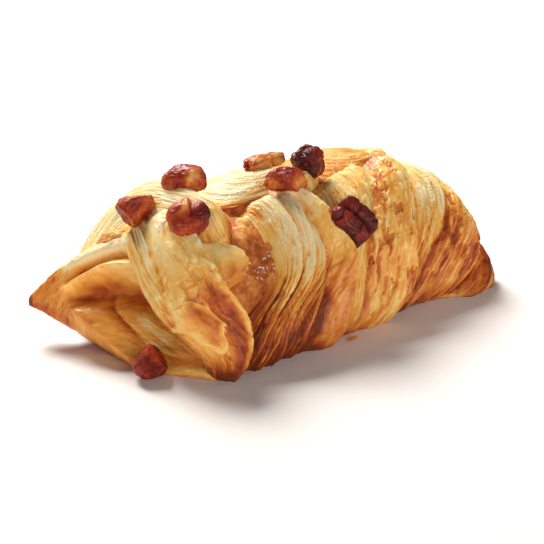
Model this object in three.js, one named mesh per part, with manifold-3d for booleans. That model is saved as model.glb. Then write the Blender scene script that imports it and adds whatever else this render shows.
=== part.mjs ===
// A pecan braid: strips of laminated dough folded by turns over a brown sugar filling, with broken
// pecans on top. Millimetres, +Z up. X runs along the braid from its near end to its far end, the
// front side faces -Y, and the braid rests on its flat base at Z = 0.
import * as THREE from 'three';
import { mergeVertices } from 'three/addons/utils/BufferGeometryUtils.js';
import Module from 'manifold-3d';

const wasm = await Module();
wasm.setup();

// The loaf: the rounded body that the strips are laid over
const NEAR_END = -61;
const FAR_END = 71;
const FRONT_HALF = 34;
const BACK_HALF = 36;
const HEIGHT = 42.5;
const SIDE_SQUARENESS = 2.4;
const CROWN_SQUARENESS = 2.3;
const TUCK_DEPTH = 4;
const TUCK_HEIGHT = 9;
const DEEPEST_TUCK = 1.3;

// How each face of the loaf rounds off at its two ends, and how much of it is left there
const FRONT_END = { near: 20, far: 12, left: 0.3 };
const BACK_END = { near: 12, far: 26, left: 0.4 };
const CROWN_END = { near: 27, far: 36, left: 0.35 };

// The dough
const UNDERSIDE = -8;
const LIP_THICKNESS = 1.8;
const EDGE_THICKNESS = 1.6;
const BASE_THICKNESS = 6;
const CORE_DEPTH = -7;
const CORE_NEAR = -47;
const CORE_FAR = 65;
const BELOW_FLOOR = -2;
const FLOOR_CUT = [200, 200, 40];

// The filling, its heap in the opening at the near end, and the gap that keeps the pieces apart
const FILLING_DEPTH = 5.5;
const FILLING_FLOOR = 5.6;
const FILLING_SIDE = 0.4;
const FILLING_NEAR = -50;
const FILLING_FAR = 60;
const HEAP = { x: -52, angle: 119, lift: -4.5, size: [11, 13, 12] };
const GAP = 0.35;
const PECAN_GAP = 0.45;

// Edges shorter than this close up where bodies are joined or cut
const JOIN_TOLERANCE = 0.02;
const SAME_POINT = 1e-4;

// Steps along and across the surfaces
const STRIP_STEPS = { along: 14, across: 16, under: 4 };
const NEAR_WALL_STEPS = { along: 18, across: 24, under: 5 };
const FAR_WALL_STEPS = { along: 14, across: 8, under: 6 };
const CORE_STEPS = { along: 16, across: 12, under: 12 };
const FILLING_STEPS = { along: 16, across: 12, under: 6 };
const HEAP_DETAIL = 2;
const PECAN_DETAIL = 2;

// Strips in the order they are folded. Angles go round the loaf from its front floor (0) over the
// crown (90) to its back floor (180). The near and the far edge each have their X and their angle
// from the strip's base to its tip.
const BACK_STRIPS = [
  {
    name: 'back_1',
    nearAngles: [184, 62],
    farAngles: [184, 62],
    near: [-60, -60, -59.5, -57, -50, -49, -47, -44],
    far: [-42, -30, -23, -25, -27.5, -32],
    lift: 6,
    sink: 7,
    stoop: 0,
    tip: 0.9,
  },
  {
    name: 'back_2',
    nearAngles: [184, 140, 112, 92, 86, 84, 80, 78],
    farAngles: [184, 152, 128, 110, 100, 93, 87, 82],
    near: [-44, -36, -30.5, -29, -24, -14, -2, 8],
    far: [-14, 4, 13, 17, 18, 18, 17, 16],
    lift: 3,
    sink: 5,
    stoop: 5,
    tip: 0.86,
  },
  {
    name: 'back_3',
    nearAngles: [184, 140, 108, 88, 78, 74, 73, 74],
    farAngles: [184, 152, 128, 110, 100, 93, 87, 82],
    near: [-16, 0, 8, 10, 16, 24, 32, 38],
    far: [18, 36, 46, 52, 54, 53, 51, 48],
    lift: 2,
    sink: 4,
    stoop: 0,
    tip: 0.86,
  },
  {
    name: 'back_4',
    nearAngles: [184, 66],
    farAngles: [184, 66],
    near: [12, 41, 47, 46],
    far: [48, 67, 69, 66],
    lift: -1.5,
    sink: 3,
    stoop: 0,
    tip: 0.8,
  },
  {
    name: 'tongue',
    nearAngles: [68, 37],
    farAngles: [68, 37],
    near: [-50, -50, -50, -49],
    far: [-42, -36, -33.5, -35, -40],
    lift: 0,
    sink: 1.5,
    stoop: 0,
    tip: 0.8,
  },
];
// Front strips have open layers from the near edge up to a groove, then crust up to a raised lip;
// crust is the groove's place across the strip, and a flap has a thin near edge as well
const FRONT_STRIPS = [
  {
    name: 'front_4',
    nearAngles: [-4, 104],
    farAngles: [-4, 104],
    near: [0, 16, 27, 33, 35, 36],
    far: [46, 61, 68, 69, 66, 62],
    crust: [0.3, 0.44, 0.56, 0.7, 0.8, 0.85],
    lift: -0.5,
    sink: 4,
    lip: 1.5,
    slant: 0,
    rise: 0,
    drop: 4,
    flap: false,
  },
  {
    name: 'front_3',
    nearAngles: [-4, 86],
    farAngles: [-4, 86],
    near: [-18, -9, -4, 0, 3, 5],
    far: [14, 27, 30, 35, 41, 43],
    crust: [0.43, 0.42, 0.41, 0.53, 0.63, 0.75],
    lift: 1,
    sink: 4,
    lip: 1.6,
    slant: -18,
    rise: 0.5,
    drop: 4,
    flap: false,
  },
  {
    name: 'front_2',
    nearAngles: [-4, 88],
    farAngles: [-4, 88],
    near: [-51, -44, -28, -23, -21, -21],
    far: [-9.4, -2, 3.5, 1.5, -1, -6],
    crust: [0.76, 0.76, 0.66, 0.72, 0.78, 0.8],
    lift: 1,
    sink: 5,
    lip: 2.6,
    slant: 4,
    rise: 0.5,
    drop: 4,
    flap: false,
  },
  {
    name: 'front_1',
    nearAngles: [-4, 108],
    farAngles: [-4, 108],
    near: [-49.5, -55.6, -58.5, -59, -57.8, -50],
    far: [-48, -43.2, -47, -46.8, -44, -39],
    crust: [-0.05, -0.05, 0.05, 0.16, 0.28, 0.5],
    lift: 1,
    sink: 2,
    lip: 2.6,
    slant: 24,
    rise: 1.5,
    drop: 2,
    flap: true,
  },
];
// One large flake of crust on the first front strip: middle and reach as shares along and across it
const FLAKE = { strip: 'front_1', middle: [0.3, 0.36], reach: [0.13, 0.34], height: 0.6 };

// How strips are shaped, as shares along (U) and across (V) them
const FRONT_EDGE_V = 0.35;
const BACK_EDGE_V = 0.45;
const LIP_START_V = [0.3, 0.7];
const LIP_TOP_V = 0.96;
const LIP_ROLL = 0.7;
const LIP_UNDER_V = 0.7;
const FLAP_V = 0.35;
const GROOVE = { depth: 1.2, width: 0.06 };
const RISE_U = [0.55, 0.8];
const DROP_U = 0.86;
const SLANT_U = 0.7;
const SLANT_AXIS_V = 0.15;
const BACK_TIP_DROP = 5;
const STOOP_FROM_U = [0.03, 0.18];
const STOOP_TO_U = [0.24, 0.36];
const STOOP_V = [0.6, 1];
const LAYERS = { height: 0.35, count: 34, sway: 1.5 };
const LUMPS = { broad: 0.5, close: 0.25 };
const FLAKE_RIM = 0.8;

// The two ends: folds of the dough sheet that run in under the strips. Each station of a wall has
// its top edge, its foot and the way it faces.
const NEAR_OUT = [-0.93, 0.14, 0.33];
const NEAR_WALL = {
  folds: 1,
  thickness: [3, 14],
  steps: NEAR_WALL_STEPS,
  stations: [
    { top: [-72, 33, 13.5], foot: [-72, 33, 10.5], out: NEAR_OUT },
    { top: [-61, 27, 24], foot: [-66, 14, 3], out: NEAR_OUT },
    { top: [-53, 15, 32.2], foot: [-62, -6, -1], out: NEAR_OUT },
    { top: [-51, -2, 38], foot: [-50, -28, -1], out: NEAR_OUT },
  ],
};
const FAR_WALL = {
  folds: 0,
  thickness: [5, 5],
  steps: FAR_WALL_STEPS,
  stations: [
    { top: [42, -32, 1.5], foot: [42, -36, -1], out: [0, -0.95, 0.3] },
    { top: [54, -34, 5], foot: [54, -38, -1], out: [0.1, -0.95, 0.3] },
    { top: [62, -26, 15], foot: [67, -33, -1], out: [0.75, -0.6, 0.3] },
    { top: [65, -12, 22], foot: [68, -12, -1], out: [0.94, 0, 0.33] },
    { top: [62, 8, 24], foot: [65, 10, -1], out: [0.9, 0.3, 0.33] },
    { top: [54, 23, 22], foot: [55, 26, -1], out: [0.6, 0.75, 0.3] },
    { top: [42, 26, 14], foot: [41, 27, -1], out: [0.1, 0.95, 0.3] },
  ],
};
// Folds of the near end. Each starts at a share along the wall and runs to its end down a path of
// shares of the wall's height; it fades in over the first two shares of its span and out over the
// last two.
const NEAR_FOLDS = [
  { from: 0, path: [0.06, 0.06], width: 0.07, height: 1.2, span: [0.2, 0.4, 2, 3] },
  { from: 0.3, path: [0.28, 0.18, 0.13, 0.12, 0.12], width: 0.05, height: -2.2, span: [0.28, 0.42, 2, 3] },
  { from: 0.3, path: [0.38, 0.26, 0.2, 0.2, 0.2], width: 0.05, height: 2.4, span: [0.28, 0.42, 2, 3] },
  { from: 0.3, path: [0.5, 0.43, 0.4, 0.44, 0.52], width: 0.1, height: -6.5, span: [0.3, 0.48, 2, 3] },
  { from: 0.3, path: [0.56, 0.66, 0.86, 1.1, 1.3], width: 0.11, height: 2.8, span: [0.28, 0.45, 0.62, 0.78] },
  { from: 0.5, path: [0.4, 0.58, 0.8, 1, 1.1], width: 0.07, height: -2.4, span: [0.5, 0.6, 0.68, 0.82] },
  { from: 0.6, path: [0.9, 0.86], width: 0.05, height: -1.2, span: [0.66, 0.8, 2, 3] },
  { from: 0.6, path: [0.97, 0.95], width: 0.05, height: 1.2, span: [0.66, 0.8, 2, 3] },
];
const END_BULGE = 3.5;
const TUCKED_FOOT = { depth: 4, height: [0.82, 1.05], fade: [0.5, 0.8] };
// Where along a wall its thickness grows from its first to its second value, and back again
const THICKENING = [0.05, 0.4];
const THINNING = [0.7, 0.95];

// Broken pecans: place on the loaf, size, heading about the outward direction, depth of the cleft,
// and the breaks, each as a direction (right, up and near as one stands before the braid) and the
// share that is left that way
const PECANS = [
  {
    name: 'pecan_1',
    x: -48,
    angle: 101,
    lift: 4.5,
    size: [13, 11, 10],
    heading: 20,
    cleft: 0,
    breaks: [[-0.1, 1, 0.1, 0.6], [-0.75, -0.65, 0.3, 0.6], [0.72, -0.6, 0.35, 0.58], [0.3, 0.1, 1, 0.7]],
  },
  {
    name: 'pecan_2',
    x: -33.5,
    angle: 94,
    lift: 7.9,
    size: [14, 11, 9.5],
    heading: 122,
    cleft: 0,
    breaks: [[-0.2, 0.2, 1, 0.75]],
  },
  {
    name: 'pecan_3',
    x: -45,
    angle: 78,
    lift: 5,
    size: [12, 12.4, 9.6],
    heading: 52,
    cleft: 0.28,
    breaks: [[-0.4, 0.3, 1, 0.8]],
  },
  {
    name: 'pecan_4',
    x: 2.5,
    angle: 99,
    lift: 4.2,
    size: [16.5, 7.4, 6],
    heading: 5,
    cleft: 0.1,
    breaks: [],
  },
  {
    name: 'pecan_5',
    x: 10,
    angle: 87,
    lift: 4.5,
    size: [13.5, 10, 11],
    heading: 20,
    cleft: 0.12,
    breaks: [[-0.55, -0.8, 0.2, 0.5]],
  },
  {
    name: 'pecan_6',
    x: -6,
    angle: 78,
    lift: 4.5,
    size: [13, 9.6, 9.2],
    heading: 152,
    cleft: 0,
    breaks: [[-0.1, -1, 0.2, 0.5], [0.6, -0.2, 0.8, 0.62]],
  },
  {
    name: 'pecan_7',
    x: 6.5,
    angle: 47,
    lift: 2.5,
    size: [16.2, 12.6, 9.5],
    heading: 120,
    cleft: 0.4,
    breaks: [[-0.7, 0.7, 0, 0.8], [0.7, -0.7, 0, 0.85]],
  },
  {
    name: 'pecan_8',
    place: [-63, -13.4, 5.2],
    outward: [-0.7, -0.4, 0.6],
    size: [10, 10.5, 9.5],
    heading: 40,
    cleft: 0,
    breaks: [[0.1, 1, 0.2, 0.72], [-0.9, 0.35, 0.3, 0.66], [0.9, 0.3, 0.2, 0.68], [0.1, 0.2, 1, 0.75]],
  },
];
const KERNEL_SQUARENESS = 2.6;
const CLEFT_WIDTH = 0.22;
const CLEFT_RISE = [-0.2, 0.5];
const WRINKLE = { height: 0.03, count: 8 };
const BREAK_FLATNESS = 0.9;
const TO_RIGHT = new THREE.Vector3(0.731, -0.682, 0);
const TO_TOP = new THREE.Vector3(0.255, 0.274, 0.927);
const TO_NEAR = new THREE.Vector3(-0.632, -0.678, 0.375);
const UPWARD = new THREE.Vector3(0, 0, 1);

const { clamp, degToRad, lerp } = THREE.MathUtils;
const smooth = (from, to, x) => THREE.MathUtils.smoothstep(x, from, to);
const bump = (x, centre, width) => Math.exp(-(((x - centre) / width) ** 2));

// A smooth curve through evenly spaced values
function through(values, t) {
  const last = values.length - 1;
  const span = clamp(t, 0, 1) * last;
  const i = Math.min(Math.floor(span), last - 1);
  const f = span - i;
  const before = i > 0 ? values[i - 1] : 2 * values[0] - values[1];
  const after = i + 2 <= last ? values[i + 2] : 2 * values[last] - values[last - 1];
  const [from, to] = [values[i], values[i + 1]];
  const slope = (to - before) * f;
  const bend = (2 * before - 5 * from + 4 * to - after) * f ** 2;
  const twist = (3 * from - before - 3 * to + after) * f ** 3;
  return 0.5 * (2 * from + slope + bend + twist);
}

// How full a face of the loaf is at x: 1 along the middle, rounded off towards either end
function fullness(x, end) {
  const near = clamp((NEAR_END + end.near - x) / end.near, 0, 1);
  const far = clamp((x - FAR_END + end.far) / end.far, 0, 1);
  return end.left + (1 - end.left) * Math.sqrt(1 - Math.max(near, far) ** 2);
}

// A point on the loaf, lifted off its surface
function loafPoint(x, angle, lift, tuckDepth = TUCK_DEPTH) {
  const turn = degToRad(angle);
  const across = Math.cos(turn);
  const up = Math.sin(turn);
  const half = across > 0 ? FRONT_HALF * fullness(x, FRONT_END) : BACK_HALF * fullness(x, BACK_END);
  const rise = Math.sign(up) * Math.abs(up) ** (2 / CROWN_SQUARENESS);
  const z = rise * (HEIGHT * fullness(x, CROWN_END) + lift);
  const tuck = tuckDepth * clamp(1 - z / TUCK_HEIGHT, 0, DEEPEST_TUCK) ** 2;
  const reach = Math.sign(across) * Math.abs(across) ** (2 / SIDE_SQUARENESS);
  return new THREE.Vector3(x, -reach * (half + lift - tuck), z);
}

// The direction straight out of the loaf
function loafOutward(x, angle) {
  const along = loafPoint(x + 0.5, angle, 0).sub(loafPoint(x - 0.5, angle, 0));
  const round = loafPoint(x, angle + 0.5, 0).sub(loafPoint(x, angle - 0.5, 0));
  return along.cross(round).normalize();
}

// Slow unevenness of baked dough, different on each strip
function lumps(u, v, strip) {
  const broad = Math.sin(8 * v + 2.4 * strip) * Math.cos(6 * u + 1.3 * strip);
  const close = Math.sin(19 * v + 5 * u + strip);
  return LUMPS.broad * broad + LUMPS.close * close;
}

// The layers of the dough, as ridges that run along a strip
function layers(u, v, strip) {
  return LAYERS.height * Math.sin(LAYERS.count * v + LAYERS.sway * Math.sin(3 * u + strip));
}

// Height of the large flake over the crust around it
function flakeLift(strip, u, v) {
  if (strip.name !== FLAKE.strip) return 0;
  const [alongShare, acrossShare] = [u, v].map((share, n) => (share - FLAKE.middle[n]) / FLAKE.reach[n]);
  return FLAKE.height * (1 - smooth(FLAKE_RIM, 1, Math.hypot(alongShare, acrossShare)));
}

// Height of a front strip over the loaf: a sunk near edge, layers, a groove, then crust up to a lip
function frontLift(strip, u, v, number) {
  const crust = through(strip.crust, u);
  const edge = -strip.sink * (1 - smooth(0, FRONT_EDGE_V, v));
  const lipRise = strip.lip * smooth(clamp(crust, ...LIP_START_V), LIP_TOP_V, v);
  const lip = lipRise - LIP_ROLL * smooth(LIP_TOP_V, 1, v) ** 2;
  const groove = -GROOVE.depth * bump(v, crust, GROOVE.width);
  const tip = strip.rise * smooth(...RISE_U, u) - strip.drop * smooth(DROP_U, 1, u);
  const ridges = layers(u, v, number) * (1 - smooth(crust - GROOVE.width, crust, v));
  return strip.lift + edge + lip + groove + tip + ridges + flakeLift(strip, u, v) + lumps(u, v, number);
}

// Height of a back strip: a crown that falls away to both edges and to its tip, and stoops on the
// back of the loaf
function backLift(strip, u, v, number) {
  const edges = -strip.sink * (1 - smooth(0, BACK_EDGE_V, v) + smooth(1 - BACK_EDGE_V, 1, v));
  const stoopAlong = smooth(...STOOP_FROM_U, u) * (1 - smooth(...STOOP_TO_U, u));
  const stoop = -strip.stoop * stoopAlong * (1 - smooth(...STOOP_V, v));
  const tip = -BACK_TIP_DROP * smooth(strip.tip, 1, u);
  return strip.lift + edges + stoop + tip + layers(u, v, number) + lumps(u, v, number);
}

// A closed body between a top surface and an underside, both given over u along and v across
function slab(topAt, underAt, { along, across, under }) {
  const points = [];
  const rings = along + 1;
  const ringSize = across + under + 2;
  for (let i = 0; i < rings; i += 1) {
    const u = i / along;
    for (let j = 0; j <= across; j += 1) points.push(topAt(u, j / across));
    for (let j = under; j >= 0; j -= 1) points.push(underAt(u, j / under));
  }
  const middleOf = (ring) => {
    const members = points.slice(ring * ringSize, (ring + 1) * ringSize);
    const sum = members.reduce((total, point) => total.add(point), new THREE.Vector3());
    return sum.divideScalar(ringSize);
  };
  const start = points.length;
  points.push(middleOf(0), middleOf(rings - 1));
  const faces = [];
  for (let j = 0; j < ringSize; j += 1) {
    const next = (j + 1) % ringSize;
    for (let i = 0; i < along; i += 1) {
      const [a, b] = [i * ringSize + j, i * ringSize + next];
      const [c, d] = [a + ringSize, b + ringSize];
      faces.push(a, c, d, a, d, b);
    }
    faces.push(start, j, next);
    faces.push(start + 1, along * ringSize + next, along * ringSize + j);
  }
  const geometry = new THREE.BufferGeometry().setFromPoints(points);
  geometry.setIndex(faces);
  return geometry;
}

// A geometry with its places alone, each point kept once
function bareGeometry(geometry) {
  const bare = new THREE.BufferGeometry();
  bare.setAttribute('position', geometry.getAttribute('position').clone());
  if (geometry.index) bare.setIndex(geometry.index.clone());
  return mergeVertices(bare, SAME_POINT);
}

// A solid from a closed geometry, with its faces turned outward
function solid(geometry) {
  const merged = bareGeometry(geometry);
  const vertProperties = new Float32Array(merged.getAttribute('position').array);
  const triVerts = new Uint32Array(merged.index.array);
  if (signedVolume(vertProperties, triVerts) < 0) {
    for (let k = 0; k < triVerts.length; k += 3) {
      [triVerts[k], triVerts[k + 1]] = [triVerts[k + 1], triVerts[k]];
    }
  }
  const mesh = new wasm.Mesh({ numProp: 3, vertProperties, triVerts, tolerance: JOIN_TOLERANCE });
  return new wasm.Manifold(mesh);
}

function signedVolume(vertices, triangles) {
  const corner = (index) => new THREE.Vector3().fromArray(vertices, 3 * index);
  let volume = 0;
  for (let k = 0; k < triangles.length; k += 3) {
    const [a, b, c] = [0, 1, 2].map((n) => corner(triangles[k + n]));
    volume += a.dot(b.cross(c)) / 6;
  }
  return volume;
}

// The largest body of a solid, without loose scraps
function mainBody(whole) {
  const bodies = whole.decompose();
  return bodies.reduce((best, body) => (body.volume() > best.volume() ? body : best));
}

function geometryOf(body) {
  const mesh = body.getMesh();
  const geometry = new THREE.BufferGeometry();
  geometry.setAttribute('position', new THREE.BufferAttribute(new Float32Array(mesh.vertProperties), 3));
  geometry.setIndex(new THREE.BufferAttribute(new Uint32Array(mesh.triVerts), 1));
  geometry.computeVertexNormals();
  return geometry;
}

// A strip laid over the loaf, from its base to its tip
function stripSolid(strip, number, liftAt) {
  const place = (u, v) => {
    const x = lerp(through(strip.near, u), through(strip.far, u), v);
    const angle = lerp(through(strip.nearAngles, u), through(strip.farAngles, u), v);
    const slant = strip.slant ? strip.slant * smooth(SLANT_U, 1, u) * (v - SLANT_AXIS_V) : 0;
    return [x, angle - slant];
  };
  const topLift = (u, v) => Math.max(liftAt(strip, u, v, number), UNDERSIDE + EDGE_THICKNESS);
  const topAt = (u, v) => loafPoint(...place(u, v), topLift(u, v));
  const underAt = (u, v) => {
    const lip = strip.lip ? smooth(LIP_UNDER_V, 1, v) : 0;
    const flap = strip.flap ? 1 - smooth(0, FLAP_V, v) : 0;
    const depth = lerp(UNDERSIDE, topLift(u, v) - LIP_THICKNESS, Math.max(lip, flap));
    return loafPoint(...place(u, v), depth);
  };
  return solid(slab(topAt, underAt, STRIP_STEPS));
}

// How far the folds of the near end stand out
function nearFolds(t, v) {
  return NEAR_FOLDS.reduce((sum, fold) => {
    const [start, full, fade, end] = fold.span;
    const place = through(fold.path, (t - fold.from) / (1 - fold.from));
    const shown = smooth(start, full, t) * (1 - smooth(fade, end, t));
    return sum + fold.height * bump(v, place, fold.width) * shown;
  }, 0);
}

// An end wall: folds fanned out between its top edge and its foot
function wallSolid(wall) {
  const along = (name, t) => {
    const values = [0, 1, 2].map((n) => wall.stations.map((station) => station[name][n]));
    return new THREE.Vector3(...values.map((row) => through(row, t)));
  };
  const surfaceAt = (t, v) => {
    const shown = 1 - smooth(...TUCKED_FOOT.fade, t);
    const tucked = -TUCKED_FOOT.depth * smooth(...TUCKED_FOOT.height, v) * shown;
    const bulge = END_BULGE * Math.sin(Math.PI * v) * Math.sin(Math.PI * t);
    const relief = wall.folds * (nearFolds(t, v) + tucked) + bulge;
    const flat = along('top', t).lerp(along('foot', t), v);
    return flat.addScaledVector(along('out', t).normalize(), relief);
  };
  const innerAt = (t, v) => {
    const thick = smooth(...THICKENING, t) * (1 - smooth(...THINNING, t));
    const depth = lerp(...wall.thickness, thick);
    return surfaceAt(t, v).addScaledVector(along('out', t).normalize(), -depth);
  };
  return solid(slab(surfaceAt, innerAt, wall.steps));
}

// The dough inside the strips: it closes the ends and makes the base
function coreSolid() {
  const place = (u) => lerp(CORE_NEAR, CORE_FAR, u);
  const topAt = (u, v) => {
    const point = loafPoint(place(u), 180 * v, CORE_DEPTH, 0);
    return point.setZ(point.z + BASE_THICKNESS * (1 - point.z / HEIGHT));
  };
  const underAt = (u, v) => topAt(u, v).setZ(BELOW_FLOOR);
  return solid(slab(topAt, underAt, CORE_STEPS));
}

// The heap of filling that swells up in the opening beside the first strip
function heapSolid(margin) {
  const half = new THREE.Vector3(...HEAP.size.map((side) => side / 2 + margin));
  const facing = new THREE.Quaternion().setFromUnitVectors(UPWARD, loafOutward(HEAP.x, HEAP.angle));
  const place = loafPoint(HEAP.x, HEAP.angle, HEAP.lift);
  const stand = new THREE.Matrix4().compose(place, facing, half);
  return solid(new THREE.IcosahedronGeometry(1, HEAP_DETAIL).applyMatrix4(stand));
}

// The filling that runs through the braid, with its heap, made larger by a margin on all sides
function fillingSolid(margin) {
  const floor = FILLING_FLOOR - margin;
  const place = (u) => lerp(FILLING_NEAR - margin, FILLING_FAR + margin, u);
  const topAt = (u, v) => {
    const point = loafPoint(place(u), 180 * v, margin - FILLING_DEPTH, 0);
    return point.setZ(floor + FILLING_SIDE + point.z * (1 - floor / HEIGHT));
  };
  const underAt = (u, v) => topAt(u, v).setZ(floor);
  return solid(slab(topAt, underAt, FILLING_STEPS)).add(heapSolid(margin));
}

// Where a pecan sits, and which way it faces
function pecanPlace(pecan) {
  const outward = pecan.outward ? new THREE.Vector3(...pecan.outward) : loafOutward(pecan.x, pecan.angle);
  const place = pecan.place ? new THREE.Vector3(...pecan.place) : loafPoint(pecan.x, pecan.angle, pecan.lift);
  const facing = new THREE.Quaternion().setFromUnitVectors(UPWARD, outward.normalize());
  const turn = new THREE.Quaternion().setFromAxisAngle(UPWARD, degToRad(pecan.heading));
  return { place, facing: facing.multiply(turn) };
}

// A squared half kernel with its cleft and wrinkles, as points about its middle
function kernelPoint(pecan, point) {
  const power = [point.x, point.y, point.z].reduce((sum, n) => sum + Math.abs(n) ** KERNEL_SQUARENESS, 0);
  const cleft = pecan.cleft * bump(point.y, 0, CLEFT_WIDTH) * smooth(...CLEFT_RISE, point.z);
  const wrinkle = WRINKLE.height * Math.sin(WRINKLE.count * point.x + pecan.heading);
  const half = new THREE.Vector3(...pecan.size).divideScalar(2);
  const swell = (1 - cleft + wrinkle) / power ** (1 / KERNEL_SQUARENESS);
  return point.clone().multiplyScalar(swell).multiply(half);
}

// A broken pecan, made larger by a margin on all sides
function pecanSolid(pecan, margin) {
  const { place, facing } = pecanPlace(pecan);
  const geometry = bareGeometry(new THREE.IcosahedronGeometry(1, PECAN_DETAIL));
  const position = geometry.getAttribute('position');
  const points = [];
  for (let k = 0; k < position.count; k += 1) {
    const onBall = new THREE.Vector3().fromBufferAttribute(position, k);
    points.push(kernelPoint(pecan, onBall).applyQuaternion(facing));
  }
  pecan.breaks.forEach(([right, top, near, left]) => {
    const direction = TO_RIGHT.clone().multiplyScalar(right);
    direction.addScaledVector(TO_TOP, top).addScaledVector(TO_NEAR, near).normalize();
    const reach = Math.max(...points.map((point) => point.dot(direction)));
    points.forEach((point) => {
      const beyond = Math.max(point.dot(direction) - left * reach, 0);
      point.addScaledVector(direction, -BREAK_FLATNESS * beyond);
    });
  });
  points.forEach((point, k) => position.setXYZ(k, ...point.add(place).toArray()));
  geometry.computeVertexNormals();
  const normal = geometry.getAttribute('normal');
  points.forEach((point, k) => {
    point.addScaledVector(new THREE.Vector3().fromBufferAttribute(normal, k), margin);
    position.setXYZ(k, ...point.toArray());
  });
  return solid(geometry);
}

// The dough in one piece: strips, ends and base joined, cut flat under the base, hollowed for the
// filling and dented under each pecan
function pastrySolid() {
  const pieces = [
    coreSolid(),
    wallSolid(NEAR_WALL),
    wallSolid(FAR_WALL),
    ...BACK_STRIPS.map((strip, k) => stripSolid(strip, k, backLift)),
    ...FRONT_STRIPS.map((strip, k) => stripSolid(strip, BACK_STRIPS.length + k, frontLift)),
  ];
  const joined = pieces.reduce((whole, piece) => whole.add(piece));
  const under = new THREE.BoxGeometry(...FLOOR_CUT).translate(0, 0, -FLOOR_CUT[2] / 2);
  const flat = joined.subtract(solid(under)).subtract(fillingSolid(GAP));
  const dented = PECANS.reduce((whole, pecan) => whole.subtract(pecanSolid(pecan, PECAN_GAP)), flat);
  return mainBody(dented);
}

// A filled part of the group, with its own finish
function part(name, body, finish) {
  const mesh = new THREE.Mesh(geometryOf(body), new THREE.MeshStandardMaterial(finish));
  mesh.name = name;
  return mesh;
}

const DOUGH = { name: 'laminated dough', color: 0xd99a52, roughness: 0.5, metalness: 0 };
const SUGAR = { name: 'sugar filling', color: 0x9e5530, roughness: 0.3, metalness: 0 };
const KERNEL = { name: 'glazed kernel', color: 0x6b2a18, roughness: 0.35, metalness: 0 };

const braid = new THREE.Group();
braid.add(part('pastry', pastrySolid(), DOUGH));
braid.add(part('filling', fillingSolid(0), SUGAR));
PECANS.forEach((pecan) => braid.add(part(pecan.name, pecanSolid(pecan, 0), KERNEL)));

// The origin is the middle of the floor under the braid
const box = new THREE.Box3().setFromObject(braid);
const middle = box.getCenter(new THREE.Vector3());
braid.position.set(-middle.x, -middle.y, -box.min.z);

export default braid;
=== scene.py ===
"""The looks of a pecan braid: laminated strips folded over a sugar filling, with broken pecans on top."""

import math

import bpy
import numpy as np
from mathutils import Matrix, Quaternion, Vector


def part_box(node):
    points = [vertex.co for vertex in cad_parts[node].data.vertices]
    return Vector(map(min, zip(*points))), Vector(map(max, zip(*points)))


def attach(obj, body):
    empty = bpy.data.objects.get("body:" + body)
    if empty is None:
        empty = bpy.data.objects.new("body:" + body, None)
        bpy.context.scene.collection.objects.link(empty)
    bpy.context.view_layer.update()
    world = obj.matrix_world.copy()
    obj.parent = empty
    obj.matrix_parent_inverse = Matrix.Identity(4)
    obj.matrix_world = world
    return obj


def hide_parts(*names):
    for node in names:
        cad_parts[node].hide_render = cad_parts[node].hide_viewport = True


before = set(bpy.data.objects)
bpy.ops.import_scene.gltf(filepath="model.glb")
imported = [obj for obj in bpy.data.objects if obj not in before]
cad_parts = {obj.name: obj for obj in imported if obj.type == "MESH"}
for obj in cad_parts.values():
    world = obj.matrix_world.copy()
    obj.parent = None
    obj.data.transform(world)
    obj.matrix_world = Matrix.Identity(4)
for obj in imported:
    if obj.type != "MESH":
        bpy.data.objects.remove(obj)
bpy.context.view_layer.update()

MM = 0.001
SEAM_WIDTH = 0.01 * MM

# The loaf that the strips are laid over, in millimetres from its own origin on the floor
NEAR_END = -61
FAR_END = 71
FRONT_HALF = 34
BACK_HALF = 36
HEIGHT = 42.5
SIDE_SQUARENESS = 2.4
CROWN_SQUARENESS = 2.3
TUCK_DEPTH = 4
TUCK_HEIGHT = 9
FRONT_END = {"near": 20, "far": 12, "left": 0.3}
BACK_END = {"near": 12, "far": 26, "left": 0.4}
CROWN_END = {"near": 27, "far": 36, "left": 0.35}

# The dough, in millimetres
UNDERSIDE = -8
LIP_THICKNESS = 1.5
EDGE_THICKNESS = 1.6
BASE_THICKNESS = 6
CORE_DEPTH = -7
CORE_NEAR = -47
CORE_FAR = 65
CORE_GIRTH = 60
# Leaves of open dough: coarse, middle and fine ones on each kind of piece, and how far each kind runs
FRONT_LEAVES = (2.6, 1.25, 0.7)
BACK_LEAVES = (3.4, 1.5, 0.75)
PATCH_LEAVES = (2.6, 1.3, 0.7)
LEAF_RUNS = (34, 20, 10)
# Bundles of leaves on the front strips, plates and blisters of the crust, and edges browned partly with
# painted shade
BUNDLE_WIDTH = 4.6
BUNDLE_RUN = 80
BUNDLE_HEIGHT = 1.7
PLATE_SIZE = 4.4
PLATE_COVER = 0.64
BLISTER_SIZE = 3.4
FRONT_EDGE_WIDTH = 9
BACK_EDGE_WIDTH = 7
# The filling
FILLING_DEPTH = 5.5
FILLING_FLOOR = 5.6
FILLING_NEAR = -50
FILLING_FAR = 60
FILLING_FRONT = -28.5
FILLING_GIRTH = 100
# How much further in than the dough it stays at the far corner
FILLING_INSET = 5
# Where it has stayed wet: the place on the loaf and the reach along and round it
WET_PLACE = {"x": -28, "angle": 35, "reach": (7, 14)}
# The heap of filling that fills the opening at the near end: its place on the loaf and its size
HEAP = {"x": -50, "angle": 121, "lift": -5, "size": (11, 13, 12)}

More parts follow.
